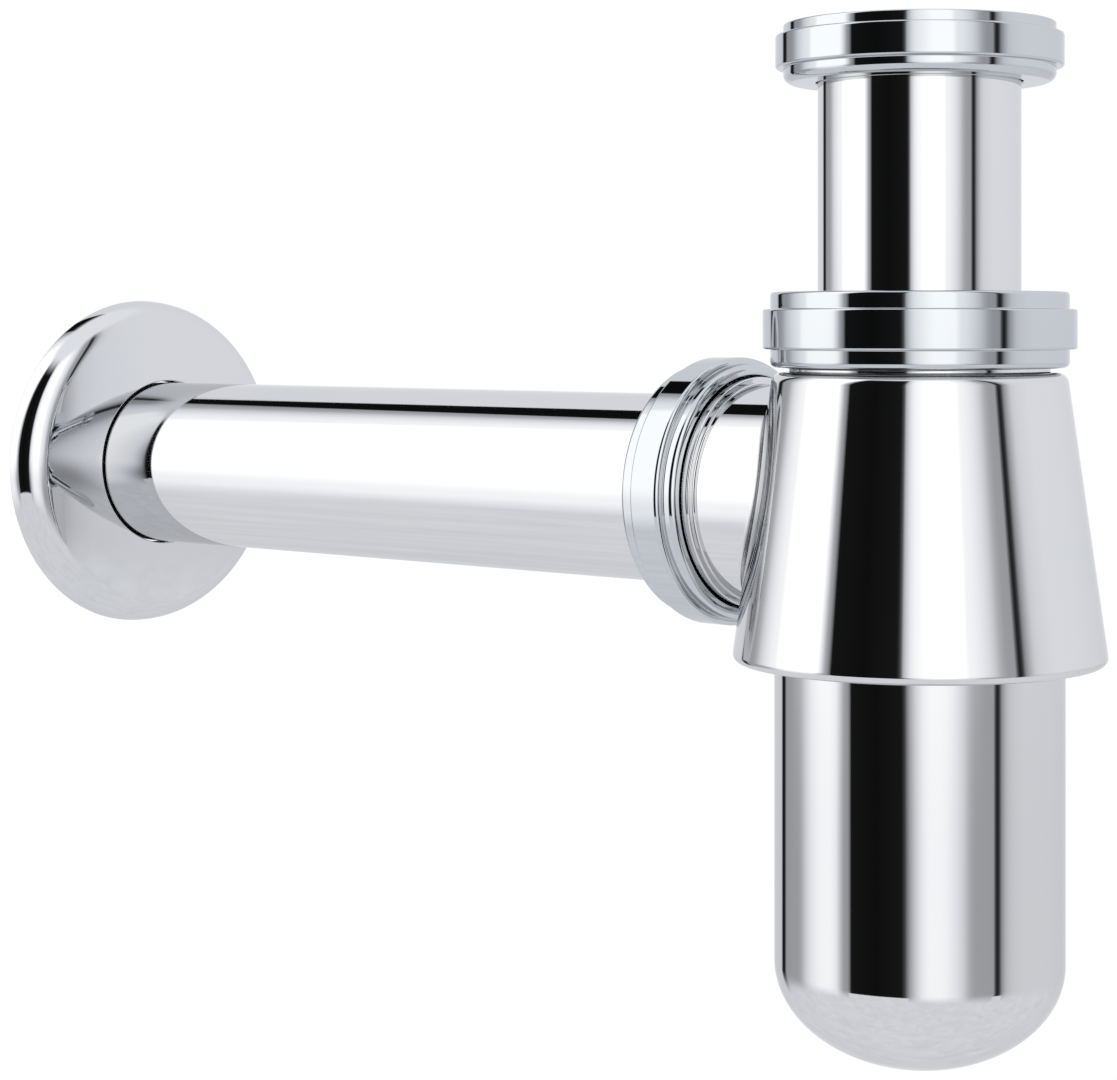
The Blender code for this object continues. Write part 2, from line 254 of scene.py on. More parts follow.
def turned(name, items, axis="Z", segments=ROUND):
    rows = expand(items)
    points, normals, rings = [], [], []
    for row in rows:
        if row["r"] == 0:
            p, q = row_point(axis, row, 0.0)
            rings.append([len(points)])
            points.append(p)
            normals.append(q)
            continue
        ring = []
        for i in range(segments):
            p, q = row_point(axis, row, 2 * math.pi * i / segments)
            ring.append(len(points))
            points.append(p)
            normals.append(q)
        rings.append(ring)
    faces = []
    for k, ring in enumerate(rings):
        after = rings[(k + 1) % len(rings)]
        if len(ring) == 1 and len(after) == 1:
            continue
        for i in range(segments):
            j = (i + 1) % segments
            if len(ring) == 1:
                faces.append((ring[0], after[j], after[i]))
            elif len(after) == 1:
                faces.append((ring[i], ring[j], after[0]))
            else:
                faces.append((ring[i], ring[j], after[j], after[i]))
    return finish_mesh(name, points, normals, faces)


# ---- materials -------------------------------------------------------------------------------


class Nodes:
    def __init__(self, name):
        self.material = bpy.data.materials.new(name)
        self.material.use_nodes = True
        self.tree = self.material.node_tree
        self.shader = self.tree.nodes["Principled BSDF"]

    def add(self, kind, values=None, **settings):
        node = self.tree.nodes.new(kind)
        for key, value in settings.items():
            setattr(node, key, value)
        for key, value in (values or {}).items():
            self.feed(node.inputs[key], value)
        return node

    def feed(self, socket, value):
        if isinstance(value, bpy.types.NodeSocket):
            self.tree.links.new(value, socket)
        else:
            socket.default_value = value

    def math(self, operation, a, b=0.0, c=0.0, clamp=False):
        node = self.add("ShaderNodeMath", {0: a, 1: b, 2: c}, operation=operation, use_clamp=clamp)
        return node.outputs[0]

    def mix(self, factor, a, b):
        node = self.add("ShaderNodeMix", {"Factor": factor, "A": a, "B": b}, data_type="FLOAT")
        return node.outputs[0]

    def blend(self, factor, a, b):
        node = self.tree.nodes.new("ShaderNodeMix")
        node.data_type = "RGBA"
        self.feed(node.inputs[0], factor)
        self.feed(node.inputs[6], a)
        self.feed(node.inputs[7], b)
        return node.outputs[2]

    def noise(self, where, scale, detail=3.0, roughness=0.5):
        node = self.add(
            "ShaderNodeTexNoise",
            {"Vector": where, "Scale": scale, "Detail": detail, "Roughness": roughness},
        )
        return node.outputs["Fac"]

    def spread(self, value, low, high, to_low=0.0, to_high=1.0):
        node = self.add(
            "ShaderNodeMapRange",
            {"Value": value, "From Min": low, "From Max": high, "To Min": to_low, "To Max": to_high},
            clamp=True,
        )
        return node.outputs["Result"]


def chrome(name, tint=(0.692, 0.695, 0.700), axis="Z", shift=0.0, smear=1.0, drawn=0.0):
    """Polished chrome plate: a clean mirror with the very slight unevenness of the brass
    under it, faint smears from wiping, and for a drawn tube faint lines along it."""
    n = Nodes(name)
    place_in = n.add("ShaderNodeTexCoord").outputs["Object"]
    where = n.add("ShaderNodeVectorMath", {0: place_in, 1: (shift, shift * 0.7, shift * 1.3)}, operation="ADD").outputs[0]
    # wiped smears, a few centimetres long
    long_scale = (1.0, 1.0, 0.22) if axis == "Z" else (0.22, 1.0, 1.0)
    stretched = n.add("ShaderNodeVectorMath", {0: where, 1: long_scale}, operation="MULTIPLY").outputs[0]
    smears = n.noise(stretched, 55.0, 4.0, 0.55)
    cloud = n.noise(where, 28.0, 3.0, 0.6)
    speck = n.noise(where, 900.0, 2.0, 0.6)
    marks = n.spread(smears, 0.48, 0.78)
    clouds = n.spread(cloud, 0.45, 0.80)
    rough = n.math("MULTIPLY_ADD", marks, 0.028 * smear, 0.022)
    rough = n.math("MULTIPLY_ADD", clouds, 0.018 * smear, rough)
    rough = n.math("MULTIPLY_ADD", n.spread(speck, 0.62, 0.75), 0.02 * smear, rough)
    n.feed(n.shader.inputs["Roughness"], rough)
    # the plate's colour shifts a little towards blue where it is thicker
    cool = (tint[0] * 0.988, tint[1] * 0.995, tint[2] * 1.008, 1.0)
    warm = (tint[0] * 1.010, tint[1] * 1.005, tint[2] * 0.998, 1.0)
    n.feed(n.shader.inputs["Base Color"], n.blend(n.spread(cloud, 0.3, 0.7), warm, cool))
    n.shader.inputs["Metallic"].default_value = 1.0
    n.shader.inputs["Specular Tint"].default_value = (0.85, 0.855, 0.86, 1.0)
    # unevenness: a long swell and a fine polishing ripple
    swell = n.noise(where, 120.0, 2.0, 0.4)
    height = n.math("MULTIPLY", swell, 0.7)
    if drawn:
        along = (1.0, 1.0, 0.012) if axis == "Z" else (0.012, 1.0, 1.0)
        lined = n.add("ShaderNodeVectorMath", {0: where, 1: along}, operation="MULTIPLY").outputs[0]
        lines = n.noise(lined, 420.0, 3.0, 0.6)
        height = n.math("MULTIPLY_ADD", lines, drawn, height)
    bump = n.add("ShaderNodeBump", {"Height": height, "Strength": 0.35, "Distance": 0.0000045})
    n.feed(n.shader.inputs["Normal"], bump.outputs[0])
    return n.material


def rubber(name, colour=(0.022, 0.022, 0.024), shift=0.0):
    """Matt black rubber with moulding bloom and a fine grain."""
    n = Nodes(name)
    place_in = n.add("ShaderNodeTexCoord").outputs["Object"]
    where = n.add("ShaderNodeVectorMath", {0: place_in, 1: (shift, shift, shift)}, operation="ADD").outputs[0]
    bloom = n.spread(n.noise(where, 90.0, 4.0, 0.6), 0.42, 0.72)
    grain = n.noise(where, 2600.0, 2.0, 0.6)
    dark = (colour[0], colour[1], colour[2], 1.0)
    light = (colour[0] * 2.6, colour[1] * 2.6, colour[2] * 2.5, 1.0)
    n.feed(n.shader.inputs["Base Color"], n.blend(bloom, dark, light))
    n.feed(n.shader.inputs["Roughness"], n.math("MULTIPLY_ADD", bloom, 0.18, 0.52))
    n.shader.inputs["Specular IOR Level"].default_value = 0.4
    bump = n.add("ShaderNodeBump", {"Height": grain, "Strength": 0.5, "Distance": 0.00002})
    n.feed(n.shader.inputs["Normal"], bump.outputs[0])
    return n.material


def plastic(name, colour=(0.80, 0.80, 0.76), shift=0.0):
    """Moulded white plastic, slightly milky, with flow marks and a satin skin."""
    n = Nodes(name)
    place_in = n.add("ShaderNodeTexCoord").outputs["Object"]
    where = n.add("ShaderNodeVectorMath", {0: place_in, 1: (shift, shift, shift)}, operation="ADD").outputs[0]
    flow = n.noise(where, 60.0, 3.0, 0.5)
    grain = n.noise(where, 3200.0, 2.0, 0.6)
    near = (colour[0], colour[1], colour[2], 1.0)
    far = (colour[0] * 0.93, colour[1] * 0.935, colour[2] * 0.93, 1.0)
    n.feed(n.shader.inputs["Base Color"], n.blend(n.spread(flow, 0.35, 0.7), near, far))
    n.feed(n.shader.inputs["Roughness"], n.math("MULTIPLY_ADD", flow, 0.16, 0.3))
    n.shader.inputs["Subsurface Weight"].default_value = 0.08
    n.shader.inputs["Subsurface Radius"].default_value = (0.002, 0.002, 0.0018)
    bump = n.add("ShaderNodeBump", {"Height": grain, "Strength": 0.3, "Distance": 0.00001})
    n.feed(n.shader.inputs["Normal"], bump.outputs[0])
    return n.material


def settle(obj, node, body, material):
    """Stands the piece in for its CAD node."""
    obj.data.materials.append(material)
    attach(obj, body)
    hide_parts(node)
    return obj


# ---- camera ------------------------------------------------------------------------------------

HEADING = math.radians(40.36)  # how far the view has turned from looking along +Y

camera_data = bpy.data.cameras.new("photo_camera")
camera = bpy.data.objects.new("photo_camera", camera_data)
bpy.context.scene.collection.objects.link(camera)
camera.location = (0.2376, -0.3476, -0.04724)
camera.rotation_euler = (math.pi / 2, 0.0, HEADING)
camera_data.sensor_width = 36.0
camera_data.lens = 85.52
camera_data.shift_x = -0.0730
camera_data.shift_y = -0.1934
camera_data.clip_start = 0.01
camera_data.clip_end = 50.0
camera_data.dof.use_dof = False
bpy.context.scene.camera = camera


# ---- studio --------------------------------------------------------------------------------------

WHITE = 1.62  # what a softbox gives, so that it burns out in the chrome
PAPER = 1.0  # the plain backdrop
BLACK = 0.006
MIRROR = 0.70  # how much of it the chrome gives back


def grey(level):
    """The light that shows in the chrome as this display grey, 0 to 255."""
    return ((level / 255 + 0.055) / 1.055) ** 2.4 / MIRROR if level > 10 else level / 255 / 12.92 / MIRROR


def soft_edge(start, span, peak):
    """One fading side of a soft box, from the grey beside it up to its core."""
    steps = [(0.0, 155), (0.14, 172), (0.28, 203), (0.42, 221), (0.56, 232), (0.71, 241), (0.86, 245)]
    stops = [(start + span * share, min(grey(level), peak)) for share, level in steps]
    return stops + [(start + span, peak)]


def ring_of_cards(left, left_inner, right_inner, right, peak, backdrop):
    """What stands round the object at one height, as (azimuth, light), with azimuth 0
    behind the camera and growing to the right. Each soft box is given by where its sides
    start to fade up and how far the fade runs. Black cards have hard edges."""
    first = [
        (-180, grey(backdrop)),
        (-150, grey(backdrop - 2)),
        (-146, grey(200)),
        (-144.0, grey(26)),
        (-138.3, grey(26)),
        (-135.8, grey(150)),
        *soft_edge(*left, peak),
        *soft_edge(*left_inner, peak)[:0:-3],
        (left_inner[0], grey(152)),
        (-62.4, grey(144)),
        (-61.2, grey(20)),
        (-40, grey(14)),
        (-19.5, grey(22)),
        (-17.0, grey(60)),
        *soft_edge(*right_inner, peak)[::2],
        (5, peak),
    ]
    second = [
        (5, peak),
        *soft_edge(*right, peak)[::-1],
        (53.8, grey(152)),
        (55.3, grey(34)),
        (58.7, grey(36)),
        (61, grey(138)),
        (64.5, grey(175)),
        (68, grey(backdrop - 14)),
        (73, grey(backdrop - 6)),
        (84, grey(backdrop)),
        (180, grey(backdrop)),
    ]
    return first, second


def studio():
    world = bpy.data.worlds.new("studio")
    bpy.context.scene.world = world
    world.use_nodes = True
    tree = world.node_tree
    tree.nodes.clear()

    def add(kind, **settings):
        node = tree.nodes.new(kind)
        for key, value in settings.items():
            setattr(node, key, value)
        return node

    def feed(socket, value):
        if isinstance(value, bpy.types.NodeSocket):
            tree.links.new(value, socket)
        else:
            socket.default_value = value

    def calc(operation, a, b=0.0, c=0.0, clamp=False):
        node = add("ShaderNodeMath", operation=operation, use_clamp=clamp)
        for socket, value in zip(node.inputs, (a, b, c)):
            feed(socket, value)
        return node.outputs[0]

    def ease(value, low, high):
        node = add("ShaderNodeMapRange", interpolation_type="SMOOTHSTEP", clamp=True)
        feed(node.inputs["Value"], value)
        feed(node.inputs["From Min"], low)
        feed(node.inputs["From Max"], high)
        return node.outputs["Result"]

    def mix(factor, a, b):
        node = add("ShaderNodeMix", data_type="FLOAT")
        feed(node.inputs["Factor"], factor)
        feed(node.inputs["A"], a)
        feed(node.inputs["B"], b)
        return node.outputs[0]

    def dot(vector, axis):
        node = add("ShaderNodeVectorMath", operation="DOT_PRODUCT")
        feed(node.inputs[0], vector)
        node.inputs[1].default_value = axis
        return node.outputs["Value"]

    def ramp(azimuth, stops):
        """Light by azimuth, as a chain of straight pieces."""
        node = add("ShaderNodeValToRGB")
        elements = node.color_ramp.elements
        elements.remove(elements[1])
        for k, (angle, light) in enumerate(stops):
            spot = (angle + 180) / 360
            element = elements.new(spot) if k else elements[0]
            element.position = spot
            element.color = (light, light, light, 1.0)
        feed(node.inputs[0], calc("DIVIDE", calc("ADD", azimuth, 180.0), 360.0))
        return node.outputs["Color"]

    ray = add("ShaderNodeTexCoord").outputs["Generated"]
    right = dot(ray, (math.cos(HEADING), math.sin(HEADING), 0.0))
    back = dot(ray, (math.sin(HEADING), -math.cos(HEADING), 0.0))
    up = dot(ray, (0.0, 0.0, 1.0))
    azimuth = calc("DEGREES", calc("ARCTAN2", right, back))
    height = calc("DEGREES", calc("ARCSINE", up))

    def ring(*shape):
        first, second = ring_of_cards(*shape)
        a, b = ramp(azimuth, first), ramp(azimuth, second)
        return mix(calc("GREATER_THAN", azimuth, 5.0), a, b)

    low = ring((-116, 34), (-67, -13), (-13, 17), (37.5, -32.4), grey(244), 203)
    level = ring((-128, 28), (-64.2, -6.8), (-16.4, 9), (48, -28), WHITE, 216)
    high = ring((-134, 23), (-64.2, -6.8), (-16.4, 9), (50, -28), WHITE, 216)
    cards = mix(ease(height, -12.0, 4.0), low, level)
    cards = mix(ease(height, 6.0, 46.0), cards, high)

    # a black flag leans in at the left, wider the higher it goes
    rise = calc("MAXIMUM", calc("SUBTRACT", height, 36.0), 0.0)
    flag_centre = calc("MULTIPLY_ADD", rise, -0.3, -141.4)
    flag_half = calc("MAXIMUM", calc("MULTIPLY_ADD", height, 0.56, -17.24), 2.0)
    flag_off = calc("ABSOLUTE", calc("SUBTRACT", azimuth, flag_centre))
    flag = calc("SUBTRACT", 1.0, ease(calc("SUBTRACT", flag_off, flag_half), -0.6, 0.8))
    flag = calc("MULTIPLY", flag, ease(height, 14.0, 26.0))
    cards = mix(flag, cards, BLACK)

    # the pale floor, which the softboxes reach only by their lower edges
    cloud = add("ShaderNodeTexNoise")
    feed(cloud.inputs["Vector"], ray)
    cloud.inputs["Scale"].default_value = 9.0
    cloud.inputs["Detail"].default_value = 5.0
    cloud.inputs["Distortion"].default_value = 0.8
    floor = calc("MULTIPLY_ADD", cloud.outputs["Fac"], 0.26, grey(207) - 0.13)
    hard = ease(height, -18.4, -17.2)
    soft = ease(height, -27.0, -13.0)
    card_zone = calc("MULTIPLY", calc("GREATER_THAN", azimuth, -63.5), calc("LESS_THAN", azimuth, -14.0))
    line_zone = calc("MULTIPLY", calc("GREATER_THAN", azimuth, 53.0), calc("LESS_THAN", azimuth, 61.5))
    zone = calc("MAXIMUM", card_zone, line_zone)
    light = mix(mix(zone, soft, hard), floor, cards)

    # the ceiling is a large pale screen
    light = mix(ease(height, 52.0, 66.0), light, grey(225))

    # paper and floor are a touch cool, the soft boxes are not
    cool = calc("SUBTRACT", 1.0, ease(light, 1.05, 1.4))
    colour = add("ShaderNodeCombineColor")
    feed(colour.inputs[0], calc("MULTIPLY", light, calc("MULTIPLY_ADD", cool, -0.012, 1.0)))
    feed(colour.inputs[1], light)
    feed(colour.inputs[2], calc("MULTIPLY", light, calc("MULTIPLY_ADD", cool, 0.042, 1.0)))
    lit = add("ShaderNodeBackground")
    feed(lit.inputs["Color"], colour.outputs[0])
    plain = add("ShaderNodeBackground")
    plain.inputs["Color"].default_value = (PAPER, PAPER, PAPER, 1.0)
    choose = add("ShaderNodeMixShader")
    feed(choose.inputs[0], add("ShaderNodeLightPath").outputs["Is Camera Ray"])
    tree.links.new(lit.outputs[0], choose.inputs[1])
    tree.links.new(plain.outputs[0], choose.inputs[2])
    tree.links.new(choose.outputs[0], add("ShaderNodeOutputWorld").inputs["Surface"])


studio()
bpy.context.scene.view_settings.view_transform = "Standard"
bpy.context.scene.view_settings.look = "None"


def pale_floor():
    size, z = 6.0, -0.42
    mesh = bpy.data.meshes.new("studio_floor")
    mesh.from_pydata([(-size, -size, z), (size, -size, z), (size, size, z), (-size, size, z)], [], [(0, 1, 2, 3)])
    obj = bpy.data.objects.new("studio_floor", mesh)
    bpy.context.scene.collection.objects.link(obj)
    n = Nodes("pale_floor")
    n.shader.inputs["Base Color"].default_value = (0.42, 0.42, 0.42, 1.0)
    n.shader.inputs["Roughness"].default_value = 1.0
    n.shader.inputs["Specular IOR Level"].default_value = 0.0
    n.shader.inputs["Emission Color"].default_value = (1.0, 1.0, 1.0, 1.0)
    n.shader.inputs["Emission Strength"].default_value = 0.62
    mesh.materials.append(n.material)
    obj.visible_glossy = False


pale_floor()


# ---- inlet union -----------------------------------------------------------------------------------

BLUE = (0.582, 0.602, 0.618)  # the nuts' plate, a little cooler

settle(
    turned(
        "union_nut",
        [
            corner(20.95, 0.0, 0.2),
            corner(21.45, 0.0, 0.3),
            corner(21.45, 1.7, 0.16),
            corner(22.7, 1.7, 0.4, 6),
            corner(22.7, 6.9, 0.4, 6),
            corner(21.45, 6.9, 0.16),
            corner(21.45, 9.25, 1.4, 10),
            corner(16.3, 9.25, 0.3),
            corner(16.3, 7.1, 0.15),
            corner(20.95, 7.1, 0.2),
            thread(20.95, 1.0, 6.2, 0.35, outside=False),
        ],
    ),
    "inlet_union_nut", "union_nut",
    chrome("union_nut_plate", BLUE, shift=0.13),
)

settle(
    turned(
        "union_slip_ring",
        [corner(16.4, 6.2, 0.15), corner(19.5, 6.2, 0.15), corner(19.5, 6.8, 0.15), corner(16.4, 6.8, 0.15)],
        segments=SMALL,
    ),
    "inlet_slip_ring", "union_slip_ring",
    plastic("slip_ring_white", shift=0.2),
)

settle(
    turned(
        "inlet_pipe",
        [
            corner(15.0, 5.0, 0.3),
            corner(19.3, 5.0, 0.25),
            corner(19.3, 5.9, 0.25),
            corner(16.0, 5.9, 0.7, 6),
            corner(16.0, 105.0, 0.3),
            corner(15.0, 105.0, 0.2),
        ],
    ),
    "inlet_tube", "inlet_tube",
    chrome("inlet_pipe_plate", shift=0.31, drawn=0.35),
)

settle(
    turned(
        "flange_gasket",
        [corner(15.2, 2.9, 0.25), corner(19.3, 2.9, 0.25), corner(19.3, 4.7, 0.25), corner(15.2, 4.7, 0.25)],
        segments=SMALL,
    ),
    "inlet_flat_gasket", "inlet_tube",
    rubber("gasket_black", shift=0.4),
)

# ---- slip joint on the neck --------------------------------------------------------------------------

settle(
    turned(
        "neck_nut",
        [
            corner(16.3, 42.2, 0.3),
            corner(23.5, 42.2, 0.55, 6),
            corner(23.5, 44.9, 0.16),
            corner(24.7, 44.9, 0.35, 6),
            corner(24.7, 51.2, 0.35, 6),
            corner(23.5, 51.2, 0.16),
            corner(23.5, 54.1, 0.95, 8),
            corner(21.85, 54.1, 0.3),
            thread(21.85, 1.1, 53.6, 46.6, outside=False),
            corner(21.85, 44.2, 0.25),
            corner(16.3, 44.2, 0.2),
        ],
    ),
    "slip_nut", "slip_nut",
    chrome("neck_nut_plate", BLUE, shift=0.57),
)

settle(
    turned(
        "neck_washer",
        [corner(16.4, 44.5, 0.2), corner(20.8, 44.5, 0.2), corner(20.8, 45.5, 0.2), corner(16.4, 45.5, 0.2)],
        segments=SMALL,
    ),
    "inlet_thrust_washer", "slip_nut_washer",
    plastic("neck_washer_white", shift=0.6),
)

settle(
    turned(
        "neck_seal",
        [
            corner(16.3, 45.8, 0.2),
            corner(19.95, 45.8, 0.3),
            corner(19.95, 46.9, 0.3),
            corner(19.25, 47.6, 0.3),
            corner(19.25, 50.0, 0.3),
            corner(16.3, 50.0, 0.2),
        ],
        segments=SMALL,
    ),
    "inlet_wedge_seal", "inlet_seal",
    rubber("neck_seal_black", shift=0.7),
)

settle(
    turned(
        "dip_pipe",
        [
            corner(16.35, 50.3, 0.25),
            corner(19.3, 50.3, 0.25),
            corner(19.3, 51.6, 0.25),
            corner(17.5, 51.6, 0.3),
            corner(17.5, 138.1, 0.25),
            corner(16.35, 138.1, 0.25),
        ],
        segments=SMALL,
    ),
    "dip_tube", "trap_body",
    plastic("dip_pipe_white", shift=0.8),
)

o_ring = [
    (18.55 + 0.75 * math.cos(2 * math.pi * k / 20), 52.65 + 0.75 * math.sin(2 * math.pi * k / 20))
    for k in range(20)
]
settle(
    turned("dip_pipe_o_ring", [curve(o_ring)], segments=SMALL),
    "dip_tube_o_ring", "trap_body",
    rubber("o_ring_black", shift=0.9),
)

# ---- body: neck, cone and outlet branch, one casting ---------------------------------------------------

CONE_TOP, CONE_TOP_R = 54.8, 23.15
CONE_END, CONE_END_R = 100.5, 29.6
CONE_RATE = (CONE_END_R - CONE_TOP_R) / (CONE_END - CONE_TOP)
CONE_TILT = math.atan(CONE_RATE)
SPIGOT_R = 17.9
PASSAGE_R = 13.0
DEPTH = -OUTLET_Z  # depth of the outlet's axis


def cone_radius(d):
    return CONE_TOP_R + CONE_RATE * (d - CONE_TOP)


CHAMBER = [(59.6, 20.8), (86.4, 24.6), (89.6, 22.0)]


def chamber_radius(d):
    """Radius of the chamber's wall, with the corner above the cup's seat rounded off."""
    (d0, r0), (d1, r1), (d2, r2) = CHAMBER
    upper = r0 + (r1 - r0) * (d - d0) / (d1 - d0)
    lower = r1 + (r2 - r1) * (d - d1) / (d2 - d1)
    h = max(0.9 - abs(upper - lower), 0.0)
    return min(upper, lower) - h * h / 3.6


def slope_of(radius, d):
    return (radius(d + 0.01) - radius(d - 0.01)) / 0.02


OUTER_ROWS = [56.75 + (98.0 - 56.75) * k / 42 for k in range(43)]
INNER_ROWS = [60.2 + (89.3 - 60.2) * k / 42 for k in range(43)]
HALF_COLUMNS = 29


def patch_rows(radius, depths, out):
    """Profile rows along a patch's stretch of the wall."""
    rows = []
    for d in depths:
        slope = slope_of(radius, d)
        nr, nd = unit(1.0, -slope)
        rows.append({"kind": "row", "r": radius(d), "d": d, "n": (out * nr, out * nd), "patch": out})
    return rows


def body_rows():
    outer_before = [
        corner(19.6, 47.85, 0.1),
        corner(20.25, 47.2, 0.1),
        corner(20.5, 47.2, 0.06),
        thread(20.5, 1.05, 47.5, 54.4, outside=True, lead=0.5),
        corner(20.5, 54.8, 0.2, 4),
        corner(23.15, 54.8, 1.9, 14),
    ]
    outer_after = [
        corner(29.6, 100.5, 1.2, 10),
        corner(24.4, 100.5, 0.4),
        corner(24.2, 100.2, 0.1),
        thread(24.2, 0.9, 99.7, 91.6, outside=False),
        corner(24.2, 90.4, 0.2),
        corner(22.0, 90.4, 0.25),
    ]
    inner_after = [
        corner(20.75, 59.3, 0.4),
        corner(17.8, 57.4, 0.5),
        corner(17.8, 53.7, 0.25),
        corner(19.6, 53.7, 0.2),
    ]
    whole = (
        outer_before
        + [curve([(cone_radius(d), d) for d in OUTER_ROWS])]
        + outer_after
        + [curve([(chamber_radius(d), d) for d in reversed(INNER_ROWS)])]
        + inner_after
    )
    rows = expand(whole)
    # give the rows along both patches their exact normals and mark them
    for row in rows:
        if row["kind"] != "row":
            continue
        for d in OUTER_ROWS:
            if abs(row["d"] - d) < 1e-9 and abs(row["r"] - cone_radius(d)) < 1e-9:
                nr, nd = unit(1.0, -CONE_RATE)
                row["n"], row["patch"] = (nr, nd), "outer"
        for d in INNER_ROWS:
            if abs(row["d"] - d) < 1e-9 and abs(row["r"] - chamber_radius(d)) < 1e-9:
                nr, nd = unit(1.0, -slope_of(chamber_radius, d))
                row["n"], row["patch"] = (-nr, -nd), "inner"
    return rows


def fillet_at(turn):
    """Radius of the fillet round the branch: small at the top, where the cone ends."""
    up = math.sin(turn)
    return 0.42 + 2.0 * (1 - smooth((up - 0.35) / 0.65)) - 0.8 * smooth((-up - 0.4) / 0.6)


def fillet_section(turn, steps):
    """The fillet between branch and cone at this angle round the branch, from the cone to
    the branch, as (place, normal) in millimetres."""
    rho = fillet_at(turn)
    c = SPIGOT_R + rho
    y, z = c * math.cos(turn), OUTLET_Z + c * math.sin(turn)
    reach = cone_radius(-z) + rho / math.cos(CONE_TILT)
    x = -math.sqrt(reach * reach - y * y)
    centre = Vector((x, y, z))
    # from the ball's centre to the cone: against the cone's normal there
    radial = Vector((x, y, 0.0)).normalized()
    cone_normal = (radial * math.cos(CONE_TILT) + Vector((0, 0, 1)) * math.sin(CONE_TILT)).normalized()
    to_cone = -cone_normal
    to_branch = -Vector((0.0, math.cos(turn), math.sin(turn)))
    angle = to_cone.angle(to_branch)
    out = []
    for k in range(steps + 1):
        t = k / steps
        way = (to_cone * math.sin((1 - t) * angle) + to_branch * math.sin(t * angle)) / math.sin(angle)
        way.normalize()
        out.append((centre + way * rho, -way))
    return out


def wall_spot(point, radius, out):
    """The nearest place on a wall of revolution, by angle and depth, with its normal."""
    around, d = math.atan2(point[1], point[0]), -point[2]
    r = radius(d)
    slope = slope_of(radius, d)
    nr, nd = unit(1.0, -slope)
    return (
        (r * math.cos(around), r * math.sin(around), -d),
        (out * nr * math.cos(around), out * nr * math.sin(around), -out * nd),
    )


